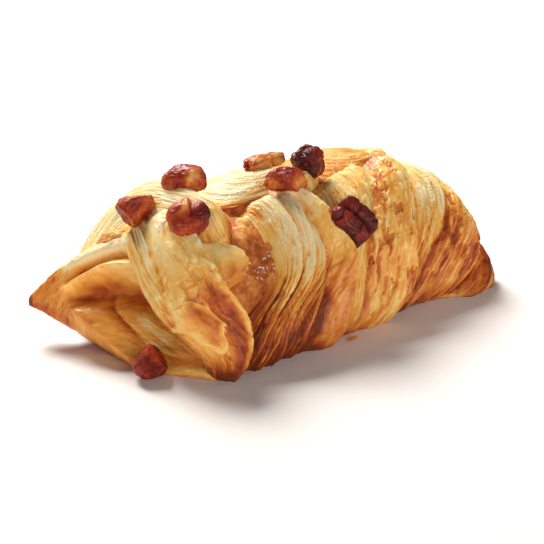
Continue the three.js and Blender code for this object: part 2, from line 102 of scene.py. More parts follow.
# Strips: angles go round the loaf from its front floor (0) over the crown (90) to its back floor
# (180), and edges are x along the strip from its base to its tip. The far edge has the near one's
# angles where it isn't given its own, and what else isn't given is nothing
BACK_STRIPS = [
    {"name": "back_1", "angles": (184, 62),
     "near": (-60, -60, -59.5, -57, -50, -49, -47, -44), "far": (-42, -30, -23, -25, -27.5, -32),
     "lift": 6, "sink": 7, "tip": 0.9, "drop": 5, "pale": 0.0, "edge": 0.46},
    {"name": "back_2", "angles": (184, 140, 112, 92, 86, 84, 80, 78),
     "far_angles": (184, 152, 128, 110, 100, 93, 87, 82), "near": (-44, -36, -30.5, -29, -24, -14, -2, 8),
     "far": (-14, 4, 13, 17, 18, 18, 17, 16), "lift": 3, "sink": 5, "stoop": 5, "tip": 0.86, "drop": 10,
     "pale": -0.06, "edge": 0.86},
    {"name": "back_3", "angles": (184, 140, 108, 88, 78, 74, 73, 74),
     "far_angles": (184, 152, 128, 110, 100, 93, 87, 82), "near": (-16, 0, 8, 10, 16, 24, 32, 38),
     "far": (18, 36, 46, 52, 54, 53, 51, 48), "lift": 2, "sink": 4, "tip": 0.86, "drop": 5,
     "pale": 0.48, "edge": 0.3},
    {"name": "back_4", "angles": (184, 66),
     "near": (12, 41, 47, 46), "far": (48, 67, 69, 66), "lift": -1.5, "sink": 3,
     "tip": 0.8, "drop": 5, "pale": 0.38, "edge": 0.3},
]
TONGUE = {"name": "tongue", "angles": (68, 37), "near": (-50, -50, -50, -49),
          "far": (-42, -36, -33.5, -35, -40), "lift": 0, "sink": 1.5, "tip": 0.8, "drop": 5,
          "pale": 0.12}
# On a front strip, lift to drop are millimetres off the loaf, slant is degrees, shoulder is how wide its
# glazed near edge is, crust is the share across it where its open layers end, flaky to bundles are
# strengths, low to far_pale are how brown it is, with painted shade in low and crust_low, and a flap is
# thin at its near edge too
FRONT_STRIPS = [
    {"name": "front_4", "angles": (-4, 104), "near": (0, 16, 27, 33, 35, 36),
     "far": (46, 61, 68, 69, 66, 62),
     "lift": -0.5, "sink": 4, "lip": 1.5, "drop": 4,
     "crust": (0.3, 0.44, 0.56, 0.7, 0.8, 0.85), "flaky": 0.8, "open": 1, "blisters": 0.1, "bundles": 0.5,
     "low": 0.42, "pale": 0.04, "crust_low": 0.76, "crust_high": 0.5, "far_pale": 0.34},
    {"name": "front_3", "angles": (-4, 86), "near": (-18, -9, -4, 0, 3, 5),
     "far": (14, 27, 30, 35, 41, 43),
     "lift": 1, "sink": 4, "lip": 1.6, "rise": 0.5, "drop": 4, "slant": -18,
     "crust": (0.43, 0.42, 0.41, 0.53, 0.63, 0.75), "flaky": 1.1, "open": 0.9,
     "blisters": 0.3, "bundles": 0.3, "low": 0.4, "pale": 0.2, "crust_low": 0.52, "crust_high": 0.5},
    {"name": "front_2", "angles": (-4, 88), "near": (-51, -44, -28, -23, -21, -21),
     "far": (-9.4, -2, 3.5, 1.5, -1, -6),
     "lift": 1, "sink": 5, "lip": 2.6, "rise": 0.5, "drop": 4, "slant": 4, "shoulder": 9,
     "crust": (0.76, 0.76, 0.66, 0.72, 0.78, 0.8), "flaky": 0.15, "open": 1, "blisters": 0.3, "bundles": 1,
     "low": 0.92, "pale": -0.14, "crust_low": 0.68, "crust_high": 0.02},
    {"name": "front_1", "angles": (-4, 108), "near": (-49.5, -55.6, -58.5, -59, -57.8, -50),
     "far": (-48, -43.2, -47, -46.8, -44, -39),
     "lift": 1, "sink": 2, "lip": 2.6, "rise": 1.5, "drop": 2, "slant": 24, "flap": True,
     "crust": (-0.05, -0.05, 0.05, 0.16, 0.28, 0.5), "flaky": 0.4, "open": 0.5,
     "blisters": 1, "bundles": 0.3, "low": 0.5, "pale": 0.13, "crust_low": 0.44, "crust_high": 0.19},
]
# One large smooth flake on the first front strip: middle and reach as shares along and across it
FLAKE = {"strip": "front_1", "middle": (0.3, 0.29), "reach": (0.14, 0.29)}
# How brown the back strips are low on the back
BACK_BAKE = 0.56
STRIP_LENGTH = 62

# End walls: each station has its top edge, its foot and the way it faces
WALL_LENGTH = 52
WALL_HEIGHT = 41
NEAR_OUT = (-0.93, 0.14, 0.33)
NEAR_WALL = {
    "name": "near_end", "folds": 1, "thickness": (3, 14), "brown": 0.0,
    "stations": [
        ((-72, 33, 13.5), (-72, 33, 10.5), NEAR_OUT),
        ((-61, 27, 24), (-66, 14, 3), NEAR_OUT),
        ((-53, 15, 32.2), (-62, -6, -1), NEAR_OUT),
        ((-51, -2, 38), (-50, -28, -1), NEAR_OUT),
    ],
}
FAR_WALL = {
    "name": "far_end", "folds": 0, "thickness": (5, 5), "brown": 0.28,
    "stations": [
        ((42, -30, 1.5), (42, -31, -1), (0, -0.95, 0.3)),
        ((54, -34, 5), (54, -36.5, -1), (0.1, -0.95, 0.3)),
        ((62, -26, 15), (67, -33, -1), (0.75, -0.6, 0.3)),
        ((65, -12, 22), (68, -12, -1), (0.94, 0, 0.33)),
        ((62, 8, 24), (65, 10, -1), (0.9, 0.3, 0.33)),
        ((54, 23, 22), (55, 26, -1), (0.6, 0.75, 0.3)),
        ((42, 28, 16), (41, 29, -1), (0.1, 0.95, 0.3)),
    ],
}
# Folds of the near end: where each starts along the wall, its path from there as shares of the wall's
# height, its width, its height in millimetres, how much browner it is, and where it fades in and out.
# Standing folds are mostly paler and sunken ones browner, partly painted highlight and painted shade
NEAR_FOLDS = [
    (0, (0.06, 0.06), 0.07, 1.2, -0.68, (0.2, 0.4, 0.8, 0.95)),
    (0.3, (0.28, 0.18, 0.13, 0.12, 0.12), 0.045, -2.4, 0.36, (0.28, 0.42, 2, 3)),
    (0.3, (0.38, 0.26, 0.2, 0.2, 0.2), 0.04, 2.6, -0.14, (0.28, 0.42, 2, 3)),
    (0.3, (0.5, 0.43, 0.4, 0.44, 0.52), 0.1, -6.5, 0.32, (0.3, 0.48, 2, 3)),
    (0.3, (0.46, 0.48), 0.04, -1.5, 0.25, (0.3, 0.36, 0.38, 0.46)),
    (0.3, (0.56, 0.66, 0.86, 1.1, 1.3), 0.11, 2.8, 0.1, (0.28, 0.45, 0.62, 0.78)),
    (0.5, (0.4, 0.58, 0.8, 1.0, 1.1), 0.06, -2.6, 0.22, (0.5, 0.6, 0.68, 0.82)),
    (0.6, (0.9, 0.86), 0.035, -1.4, 0.18, (0.66, 0.8, 2, 3)),
    (0.6, (0.97, 0.95), 0.04, 1.4, -0.14, (0.66, 0.8, 2, 3)),
]
# A patch of open layers on the near end: middle, reach and the way its leaves run, along and down the wall
NEAR_PATCH = {"middle": (0.83, 0.7), "reach": (0.14, 0.15), "run": (0.73, 0.68)}
END_BULGE = 3.5
# How far back the inner pieces may reach, and where and how steeply they draw in towards the far end
FAR_CORNER = {"back": 24, "start": 52, "slope": 1.5}

# Broken pecans: place on the loaf, cleft, cracks across (breaks), size, heading, wrinkles, how dark they
# are and how much darker to the right. Directions are the view's. Marks are paler or darker places: right,
# up, reach and change of tone. Furrows are right, width and depth. Cuts are broken faces: right, up and
# near, and the share of the kernel that is left that way
PECANS = [
    {"name": "pecan_1", "squareness": 2.4, "x": -48, "angle": 101, "lift": 4.5,
     "size": (13, 11, 10), "heading": 20, "wrinkle": 0.02, "dark": 0.64, "across": -0.2,
     "marks": [(4.8, 2.2, 2.2, -0.35), (0, -4.1, 2, -0.15)],
     "cuts": [(-0.1, 1, 0.1, 0.6), (-0.75, -0.65, 0.3, 0.6), (0.72, -0.6, 0.35, 0.58), (0.3, 0.1, 1, 0.7)]},
    {"name": "pecan_2", "squareness": 2.0, "x": -33.5, "angle": 94, "lift": 6.8,
     "size": (14, 11, 9.5), "heading": 122, "wrinkle": 0.02, "dark": 0.52, "across": 0,
     "marks": [(2.2, 1.2, 3, -0.4), (-1.5, 1.5, 2.5, 0.16), (5.5, -1.5, 2.2, 0.14), (-4.6, -2, 2, -0.15)],
     "cuts": [(0.2, -1, 0.1, 0.75)]},
    {"name": "pecan_3", "squareness": 2.1, "x": -45, "angle": 78, "lift": 5,
     "size": (12, 12.4, 9.6), "heading": 52, "wrinkle": 0.03, "dark": 0.58, "across": 0.3,
     "marks": [(-0.8, 3.2, 1.9, -0.45), (0.4, 4.6, 1.4, -0.3), (5, 1, 3, 0.3), (0, -5, 2, -0.2)],
     "furrows": [(1.6, 0.9, 0.24), (-2.4, 0.9, 0.1)],
     "cuts": [(-0.4, 0.3, 1, 0.8)]},
    {"name": "pecan_4", "squareness": 2.4, "x": 2.5, "angle": 99, "lift": 4.2, "cleft": 0.1, "breaks": 0.4,
     "size": (16.5, 7.4, 6), "heading": 5, "wrinkle": 0.02, "dark": 0.02, "across": -0.3,
     "waist": 0.26, "cuts": [], "marks": [(-6, -1.5, 2.2, 0.35), (6.4, 1.4, 1.2, 0.35)]},
    {"name": "pecan_5", "squareness": 2.2, "x": 10, "angle": 87, "lift": 4.5, "cleft": 0.12, "breaks": 0.6,
     "size": (13.5, 10, 11), "heading": 20, "wrinkle": 0.05, "dark": 0.9, "across": -0.15,
     "cuts": [(-0.55, -0.8, 0.2, 0.5)]},
    {"name": "pecan_6", "squareness": 2.1, "x": -6, "angle": 78, "lift": 4.5,
     "size": (13, 9.6, 9.2), "heading": 152, "wrinkle": 0.02, "dark": 0.56, "across": 0.1,
     "marks": [(-4.4, 0, 2, -0.3), (4.6, 0, 2, -0.3), (-0.6, -2.5, 2.4, 0.14), (0.8, 3.4, 1.5, 0.2)],
     "cuts": [(-0.1, -1, 0.2, 0.5), (0.6, -0.2, 0.8, 0.62)]},
    {"name": "pecan_7", "squareness": 2.8, "x": 6.5, "angle": 47, "lift": 2.5, "cleft": 0.4, "breaks": 1.1,
     "size": (16.2, 12.6, 9.5), "heading": 120, "wrinkle": 0.04, "dark": 0.84, "across": 0.1,
     "cuts": [(-0.7, 0.7, 0, 0.8), (0.7, -0.7, 0, 0.85)]},
    # The one on the floor has its place in millimetres and the way that its top faces
    {"name": "pecan_8", "squareness": 2.1, "place": (-63, -13.4, 5.2), "out": (-0.7, -0.4, 0.6),
     "size": (10, 10.5, 9.5), "heading": 40, "wrinkle": 0.02, "dark": 0.7, "across": 0.1,
     "cuts": [(-0.8, 0.6, 0.3, 0.58), (0.85, 0.55, 0.2, 0.6), (0.1, 0.2, 1, 0.75)]},
]
CRUMB = {"name": "crumb", "place": (-0.8, -35.3, 0.5), "size": (3.2, 1.5, 1)}

# Seeds of the random unevenness: each strip, wall and kernel has a run of its own
STRIP_SEEDS = 400
RAGGED_SEED = 60
LIP_SEED = 70
FILLING_SEED = 403
HEAP_SEED = 411
CRUMB_SEED = 421
WALL_SEED = 6000
WALL_SEEDS = 200
KERNEL_SEED = 9000
KERNEL_SEEDS = 20
# Cells of random values each way, before they come again
NOISE_CELLS = 128
SPACE_CELLS = 24

# Mesh steps
ALONG_STRIP = 230
ACROSS_FRONT = 120
ACROSS_BACK = 110
LIP_ROWS = 6
UNDER_ROWS = 6
NEAR_ROWS = 2
ARC_STEPS = 40
WRAP_ROWS = LIP_ROWS + UNDER_ROWS + NEAR_ROWS
ALONG_WALL = 200
ACROSS_WALL = 150
ALONG_CORE = 80
ACROSS_CORE = 60
ALONG_FILLING = 300
ACROSS_FILLING = 150
UNDER_FILLING = 12
BALL_STEPS = 6
CRUMB_STEPS = 3

# The photograph's view
VIEW_AZIMUTH = -43
VIEW_ELEVATION = 22
VIEW_ANGLE = 20
VIEW_WIDTH = 172
VIEW_TARGET = (-4, -2, 13.5)
# Its right, up and near directions
VIEW_AXES = np.array([(0.731, -0.682, 0), (0.255, 0.274, 0.927), (-0.632, -0.678, 0.375)])
SENSOR_WIDTH = 36

# The floor, and the light: a window behind the braid and pale cards round it. Each light has its place,
# what it faces and its size, in metres, and its energy in watts
FLOOR_SIZE = 6
FLOOR_COLOUR = (0.92, 0.86, 0.8, 1)
LIGHTS = [
    ("window", (0.18, 0.71, 0.79), (0, 0, 0), 0.48, 21),
    ("front_card", (-0.1, -1.0, 0.27), (0, 0, 0.02), 0.6, 4.9),
    ("side_card", (-1.0, -0.1, 0.25), (0, 0, 0.02), 0.4, 1.5),
    ("bright_card", (0.6, -0.6, 0.5), (0, 0, 0.02), 0.12, 0.72),
]
SKY_STRENGTH = 0.03

# The loaf's own origin, found from the filling's place in the frame
filling_low, filling_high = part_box("filling")
ORIGIN = np.array([
    filling_high.x / MM - FILLING_FAR,
    filling_low.y / MM - FILLING_FRONT,
    filling_low.z / MM - FILLING_FLOOR,
])


def smooth(start, end, x):
    """A soft step from 0 at the start to 1 at the end."""
    share = np.clip((x - start) / (end - start), 0, 1)
    return share * share * (3 - 2 * share)


def bump(x, centre, width):
    """A soft hump that is 1 at its centre."""
    return np.exp(-(((x - centre) / width) ** 2))


def mix(a, b, share):
    """A value on the way from a to b."""
    return a + (b - a) * share


def through(values, t):
    """A smooth curve through evenly spaced values."""
    values = np.asarray(values, float)
    last = len(values) - 1
    span = np.clip(t, 0, 1) * last
    i = np.clip(np.floor(span).astype(int), 0, last - 1)
    f = span - i
    first = 2 * values[0] - values[1]
    final = 2 * values[last] - values[last - 1]
    longer = np.concatenate([[first], values, [final]])
    before, start, end, after = longer[i], longer[i + 1], longer[i + 2], longer[i + 3]
    slope = (end - before) * f
    bend = (2 * before - 5 * start + 4 * end - after) * f ** 2
    twist = (3 * start - before - 3 * end + after) * f ** 3
    return 0.5 * (2 * start + slope + bend + twist)


def noise(seed, x, y):
    """Smooth random values from 0 to 1, one cell to a unit of x and y."""
    table = np.random.default_rng(seed).random((NOISE_CELLS, NOISE_CELLS))
    x, y = np.broadcast_arrays(np.asarray(x, float), np.asarray(y, float))
    i = np.floor(x).astype(int)
    j = np.floor(y).astype(int)
    f = smooth(0, 1, x - i)
    g = smooth(0, 1, y - j)
    i0, i1 = i % NOISE_CELLS, (i + 1) % NOISE_CELLS
    j0, j1 = j % NOISE_CELLS, (j + 1) % NOISE_CELLS
    low = mix(table[i0, j0], table[i1, j0], f)
    high = mix(table[i0, j1], table[i1, j1], f)
    return mix(low, high, g)


def leaves(seed, along, across, spacing, length):
    """Sheets of dough like shingles: their rise to an edge, the line of painted shade behind it and their
    tone.
    """
    slow = noise(seed, along / length, across / (3 * spacing)) - 0.5
    quick = noise(seed + 1, along / (0.2 * length), across / spacing) - 0.5
    place = across / spacing + 2.2 * slow + 0.4 * quick
    leaf = np.floor(place)
    share = place - leaf
    strength = smooth(0.15, 0.7, noise(seed + 2, leaf + 0.5, along / (0.5 * length)))
    rise = strength * share ** 1.6 * smooth(1.0, 0.88, share)
    line = strength * np.maximum(bump(share, 0.02, 0.12), bump(share, 1.02, 0.08))
    tone = noise(seed + 3, leaf + 0.5, along / (0.4 * length)) - 0.5
    return rise, line, tone


def layered(seed, along, over, thicknesses):
    """Relief and tone of open layers from three thicknesses of leaf, with painted highlight and shade in
    the tone.
    """
    coarse, middle, fine = thicknesses
    coarse_run, middle_run, fine_run = LEAF_RUNS
    tall, tall_shade_line, tall_tone = leaves(seed, along, over, coarse, coarse_run)
    mean, mean_shade_line, mean_tone = leaves(seed + 50, along, over, middle, middle_run)
    thin, thin_shade_line, thin_tone = leaves(seed + 100, along, over, fine, fine_run)
    relief = (tall - 0.3) + 0.8 * (mean - 0.3) + 0.45 * (thin - 0.3)
    lines = 0.4 * tall_shade_line + 0.42 * mean_shade_line + 0.3 * thin_shade_line
    lit_crests = 0.45 * tall + 0.35 * mean + 0.2 * thin
    # Painted highlight on each crest and painted shade in the lines behind the leaf edges, besides each
    # leaf's own tone
    tone = 0.58 * lines - 0.3 * (lit_crests - 0.25) + 0.2 * tall_tone + 0.3 * mean_tone + 0.3 * thin_tone
    return relief, tone


def fibres(seed, along, over):
    """Short threads along a strip, from -0.5 to 0.5, with sparse flecks of painted highlight and gaps of
    painted shade.
    """
    threads = 0.6 * noise(seed, along / 7, over / 1.1) + 0.4 * noise(seed + 1, along / 3, over / 0.6) - 0.5
    flecks = smooth(0.78, 0.9, noise(seed + 2, along / 2.4, over / 0.9))
    gaps = smooth(0.76, 0.9, noise(seed + 3, along / 5, over / 0.8))
    return threads, flecks, gaps


def flakes(seed, along, over, size, cover):
    """Where the top crust still lies as ragged plates (1) or has flaked off (0), and the plates' rims."""
    field = noise(seed, along / size, over / (0.5 * size))
    field = field + 0.4 * (noise(seed + 1, along / (0.4 * size), over / (0.13 * size)) - 0.5)
    field = field + 0.2 * (noise(seed + 8, along / (0.12 * size), over / (0.08 * size)) - 0.5)
    plate = smooth(0.98 - cover, 1.06 - cover, field)
    rim = bump(field, 1.08 - cover, 0.05)
    return plate, rim


def fullness(x, end):
    """How full a face of the loaf is at x: 1 along the middle, rounded off towards either end."""
    near = np.clip((NEAR_END + end["near"] - x) / end["near"], 0, 1)
    far = np.clip((x - FAR_END + end["far"]) / end["far"], 0, 1)
    return end["left"] + (1 - end["left"]) * np.sqrt(1 - np.maximum(near, far) ** 2)


def loaf_point(x, angle, lift, tuck_depth=TUCK_DEPTH):
    """A point on the loaf, lifted off its surface."""
    turn = np.radians(angle)
    across = np.cos(turn)
    up = np.sin(turn)
    front = FRONT_HALF * fullness(x, FRONT_END)
    back = BACK_HALF * fullness(x, BACK_END)
    half = np.where(across > 0, front, back)
    rise = np.sign(up) * np.abs(up) ** (2 / CROWN_SQUARENESS)
    z = rise * (HEIGHT * fullness(x, CROWN_END) + lift)
    tuck = tuck_depth * np.clip(1 - z / TUCK_HEIGHT, 0, 1.3) ** 2
    reach = np.sign(across) * np.abs(across) ** (2 / SIDE_SQUARENESS)
    y = -reach * (half + lift - tuck)
    return np.stack(np.broadcast_arrays(x, y, z), -1)


def loaf_outward(x, angle):
    """The way that the loaf's surface faces."""
    along = loaf_point(x + 0.5, angle, 0) - loaf_point(x - 0.5, angle, 0)
    around = loaf_point(x, angle + 0.5, 0) - loaf_point(x, angle - 0.5, 0)
    return Vector(np.cross(along, around)).normalized()


def lumps(u, v, number):
    """Slow unevenness of baked dough, different on each strip."""
    broad = np.sin(8 * v + 2.4 * number) * np.cos(6 * u + 1.3 * number)
    close = np.sin(19 * v + 5 * u + number)
    return 0.5 * broad + 0.25 * close


def start_clean():
    """Leave edit mode and select nothing, so an operator acts on its own piece alone."""
    if bpy.context.object and bpy.context.object.mode != "OBJECT":
        bpy.ops.object.mode_set(mode="OBJECT")
    bpy.ops.object.select_all(action="DESELECT")


def new_piece(name):
    """The mesh just added, under its name, and its points."""
    piece = bpy.context.object
    piece.name = name
    piece.data.name = name
    places = np.empty(len(piece.data.vertices) * 3)
    piece.data.vertices.foreach_get("co", places)
    return piece, places.reshape(-1, 3)


def sheet(name, columns, rows):
    """A flat sheet of that many steps, with each point's column and row as shares of the sheet."""
    start_clean()
    bpy.ops.mesh.primitive_grid_add(x_subdivisions=columns, y_subdivisions=rows, size=1)
    piece, flat = new_piece(name)
    return piece, flat[:, 0] + 0.5, flat[:, 1] + 0.5


def ball_piece(name, steps):
    """A smooth ball to be shaped, with its points."""
    start_clean()
    bpy.ops.mesh.primitive_ico_sphere_add(subdivisions=steps, radius=1)
    bpy.ops.object.shade_smooth()
    return new_piece(name)


def drape(piece, points):
    """Move a piece's points to places in millimetres on the loaf, none of them below the floor."""
    points[:, 2] = np.maximum(points[:, 2], 0)
    piece.data.vertices.foreach_set("co", ((points + ORIGIN) * MM).ravel())
    piece.data.update()


def paint(piece, **values):
    """Keep a value at each point for the materials to read."""
    count = len(piece.data.vertices)
    for name, value in values.items():
        layer = piece.data.attributes.new(name, "FLOAT", "POINT")
        layer.data.foreach_set("value", np.broadcast_to(value, count).astype(np.float32))


def chart(piece, along, across):
    """A flat map of the piece in decimetres, along and across its strip."""
    corners = np.empty(len(piece.data.loops), int)
    piece.data.loops.foreach_get("vertex_index", corners)
    places = np.stack([along[corners], across[corners]], -1) / 100
    piece.data.uv_layers.active.data.foreach_set("uv", places.ravel())


def close_up(piece):
    """Join the seam where the sheet meets itself, fill its ends and turn its faces outward."""
    bpy.context.view_layer.objects.active = piece
    bpy.ops.object.mode_set(mode="EDIT")
    bpy.ops.mesh.select_all(action="SELECT")
    bpy.ops.mesh.remove_doubles(threshold=SEAM_WIDTH)
    bpy.ops.mesh.select_all(action="DESELECT")
    bpy.ops.mesh.select_non_manifold()
    bpy.ops.mesh.fill_holes(sides=0)
    bpy.ops.mesh.select_all(action="SELECT")
    bpy.ops.mesh.normals_make_consistent(inside=False)
    bpy.ops.object.mode_set(mode="OBJECT")
    bpy.ops.object.shade_smooth()


def baked(piece, points, along, over, **looks):
    """A sheet made into a piece: moved into place, charted, painted and closed up."""
    drape(piece, points)
    chart(piece, along, over)
    paint(piece, **looks)
    close_up(piece)
    return piece


def belongs(piece, node, material):
    """Give a piece its material and say what it is part of."""
    piece.data.materials.clear()
    piece.data.materials.append(material)
    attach(piece, "root")
    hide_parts(node)


def wrapped(row, across):
    """Rows wrapped over a piece and back under it: their share across it and how far they are sunk."""
    lip_end = across + LIP_ROWS
    under_end = lip_end + UNDER_ROWS
    v = np.clip(row / across, 0, 1)
    v = np.where(row > lip_end, 1 - np.clip((row - lip_end) / UNDER_ROWS, 0, 1), v)
    sunk = smooth(across, lip_end, row)
    sunk = np.where(row > under_end, 1 - (row - under_end) / NEAR_ROWS, sunk)
    return v, sunk


def arc_lengths(x_at, angle_at, lift_at):
    """Distances across a strip over the loaf, at each step along it and a few steps across."""
    u = np.linspace(0, 1, ALONG_STRIP + 1)[:, None]
    v = np.linspace(0, 1, ARC_STEPS + 1)[None, :]
    points = loaf_point(x_at(u, v), angle_at(u, v), lift_at(u, v))
    steps = np.linalg.norm(np.diff(points, axis=1), axis=-1)
    return np.concatenate([np.zeros((ALONG_STRIP + 1, 1)), np.cumsum(steps, axis=1)], axis=1)


def strip_piece(strip, number, lift_at, detail_at, across, lip_under):
    """A strip of dough laid over the loaf, from its base to its tip."""
    rows = across + WRAP_ROWS
    piece, u, row = sheet(strip["name"], ALONG_STRIP, rows)
    row = np.rint(row * rows)
    v, sunk = wrapped(row, across)
    far_angles = strip.get("far_angles", strip["angles"])
    slant = strip.get("slant", 0)

    def x_at(u, v):
        return mix(through(strip["near"], u), through(strip["far"], u), v)

    def angle_at(u, v):
        plain = mix(through(strip["angles"], u), through(far_angles, u), v)
        return plain - slant * smooth(0.7, 1, u) * (v - 0.15)

    def plain_lift_at(u, v):
        return np.maximum(lift_at(strip, u, v, number), UNDERSIDE + EDGE_THICKNESS)

    lengths = arc_lengths(x_at, angle_at, plain_lift_at)
    column = np.rint(u * ALONG_STRIP).astype(int)
    step = np.clip(np.floor(v * ARC_STEPS).astype(int), 0, ARC_STEPS - 1)
    over = mix(lengths[column, step], lengths[column, step + 1], v * ARC_STEPS - step)
    left_over = lengths[column, ARC_STEPS] - over
    along = u * STRIP_LENGTH
    detail, looks = detail_at(strip, number, u, v, along, over, left_over)
    slow_wave = noise(number + RAGGED_SEED, along / 5, 0) - 0.5
    quick_wave = noise(number + RAGGED_SEED + 1, along / 1.4, 0) - 0.5
    ragged = 0.6 * slow_wave + 0.4 * quick_wave
    x = x_at(u, v) + ragged * smooth(0.9, 1, v)
    plain_lift = plain_lift_at(u, v)
    deep = UNDERSIDE
    if lip_under:
        thin = np.maximum(smooth(0.7, 1, v), strip.get("flap", False) * (1 - smooth(0, 0.35, v)))
        deep = mix(UNDERSIDE, plain_lift - LIP_THICKNESS, thin)
    lift = mix(plain_lift + detail, deep, sunk)
    lip_layers = 0.5 * (noise(number + LIP_SEED, along / 9, (row - across) * 1.1) - 0.5)
    x = x + lip_layers * (row > across) * (row < across + LIP_ROWS)
    return baked(piece, loaf_point(x, angle_at(u, v), lift), along, over, **looks)


def front_lift(strip, u, v, number):
    """A sunk near edge, layers, a groove, then crust up to a lip."""
    crust = through(strip["crust"], u)
    edge = -strip["sink"] * (1 - smooth(0, 0.35, v))
    lip = strip["lip"] * smooth(np.clip(crust, 0.3, 0.7), 0.96, v) - 0.7 * smooth(0.95, 1, v) ** 2
    groove = -1.2 * bump(v, crust, 0.06)
    tip = strip.get("rise", 0) * smooth(0.55, 0.8, u) - strip["drop"] * smooth(0.86, 1, u)
    return strip["lift"] + edge + lip + groove + tip + lumps(u, v, number)


def back_lift(strip, u, v, number):
    """A crown that falls away to both edges and to the tip, and stoops on the back of the loaf."""
    edges = -strip["sink"] * (1 - smooth(0, 0.45, v) + smooth(0.55, 1, v))
    stoop = smooth(0.03, 0.18, u) * (1 - smooth(0.24, 0.36, u)) * (1 - smooth(0.6, 1, v))
    tip = -strip["drop"] * smooth(strip["tip"], 1, u)
    return strip["lift"] + edges - strip.get("stoop", 0) * stoop + tip + lumps(u, v, number)


def blisters(seed, along, over, size):
    """Little domes side by side: their height and the lines where they meet."""
    i = np.floor(along / size)
    j = np.floor(over / size)
    nearest = np.full(np.shape(along), 9.0)
    second = nearest.copy()
    shifts = np.random.default_rng(seed).random((2, NOISE_CELLS, NOISE_CELLS))
    for step_i in (-1, 0, 1):
        for step_j in (-1, 0, 1):
            cell = ((i + step_i).astype(int) % NOISE_CELLS, (j + step_j).astype(int) % NOISE_CELLS)
            from_i = i + step_i + shifts[0][cell] - along / size
            from_j = j + step_j + shifts[1][cell] - over / size
            away = np.hypot(from_i, from_j)
            second = np.minimum(second, np.maximum(nearest, away))
            nearest = np.minimum(nearest, away)
    return 1 - smooth(0, 0.7, nearest), 1 - smooth(0, 0.4, second - nearest)


def crust_looks(seed, along, over, flaky):
    """Baked top crust: pale ragged plates with browner cracks, soft domes, pits and fine wrinkles; cracks
    and pits hold painted shade.
    """
    plate, rim = flakes(seed, along, over, PLATE_SIZE, PLATE_COVER)
    dome = smooth(0.45, 0.85, noise(seed + 2, along / 8, over / 5))
    pit = smooth(0.76, 0.9, noise(seed + 3, along / 1.6, over / 1.6))
    wave = noise(seed + 4, along / 9, over / 3.5) - 0.5
    wrinkle = 0.6 * noise(seed + 5, along / 2.6, over / 1.2)
    wrinkle = wrinkle + 0.4 * noise(seed + 6, along / 1.1, over / 0.8) - 0.5
    blotch = noise(seed + 7, along / 10, over / 6) - 0.5
    peel = min(flaky, 0.8) * smooth(0.64, 0.84, noise(seed + 9, along / 3.2, over / 0.9))
    relief = flaky * 0.6 * (plate - 0.6) + 0.6 * dome + 0.4 * wave + 0.4 * wrinkle - 0.25 * pit + 0.3 * peel
    # Browner between the plates, partly painted shade there, and painted shade in the pits
    tone = flaky * (0.18 * (0.6 - plate) - 0.16 * rim) + 0.3 * blotch + 0.22 * wrinkle
    tone = tone + 0.06 * pit - 0.28 * peel
    return relief, tone, plate


def front_layers(strip, seed, u, along, over):
    """Open layers of a front strip: relief, how brown they are, and where its glazed shoulder ends."""
    relief, tone = layered(seed + 2, along, over, FRONT_LEAVES)
    bundle, bundle_shade_line, _ = leaves(seed + 200, along, over, BUNDLE_WIDTH, BUNDLE_RUN)
    relief = relief + strip["bundles"] * BUNDLE_HEIGHT * (bundle - 0.3)
    # Painted shade in the lines behind the bundles and painted highlight on the bundle tops
    tone = tone + strip["bundles"] * (0.5 * bundle_shade_line - 0.3 * (bundle - 0.25))
    threads, flecks, gaps = fibres(seed + 12, along, over)
    shoulder_width = strip.get("shoulder", 0)
    width = 1 + shoulder_width * bump(u, 0.52, 0.24)
    shoulder = smooth(0.35 * width, width + 0.8, over)
    relief = mix(0.25 * threads, relief + 0.6 * threads - 0.5 * gaps, shoulder)
    # Painted highlight on the flecks and painted shade in the gaps, the flecks also on the glazed shoulder
    fine_tone = 0.4 * threads - 0.2 * flecks + 0.28 * gaps
    # Browner low on the strip and paler high up: partly baked colour, partly painted shade low down
    bake = mix(strip["low"], strip["pale"], smooth(0.08, 0.62, u))
    bake = bake + mix(0.06 - 0.1 * flecks, strip["open"] * (tone + fine_tone), shoulder)
    # Browner along the near edge: partly the glaze's own colour, partly painted shade where the edge sinks
    # beside the filling
    glazed = bump(u, 0.56, 0.3) * (shoulder_width > 0)
    near_edge = 1 - smooth(0, FRONT_EDGE_WIDTH, over)
    bake = bake + mix(0.2, 0.5, glazed) * strip["open"] * near_edge
    return strip["open"] * relief, bake, shoulder


def front_crust(strip, seed, u, along, over):
    """Baked crust of a front strip, blistered high up: its relief, its tone and its plates."""
    relief, tone, plate = crust_looks(seed + 20, along, over, strip["flaky"])
    warp = noise(seed + 31, along / 3, over / 3)
    dome, seam = blisters(seed + 30, along + 2 * warp, over - 2 * warp, BLISTER_SIZE)
    cluster = smooth(0.25, 0.6, noise(seed + 32, along / 6, over / 6))
    blistered = strip["blisters"] * smooth(0.3, 0.5, u) * cluster
    relief = relief + blistered * (0.5 * dome - 0.2 * seam)
    tone = tone + blistered * (0.22 * seam - 0.34 * dome)
    return relief, tone, plate


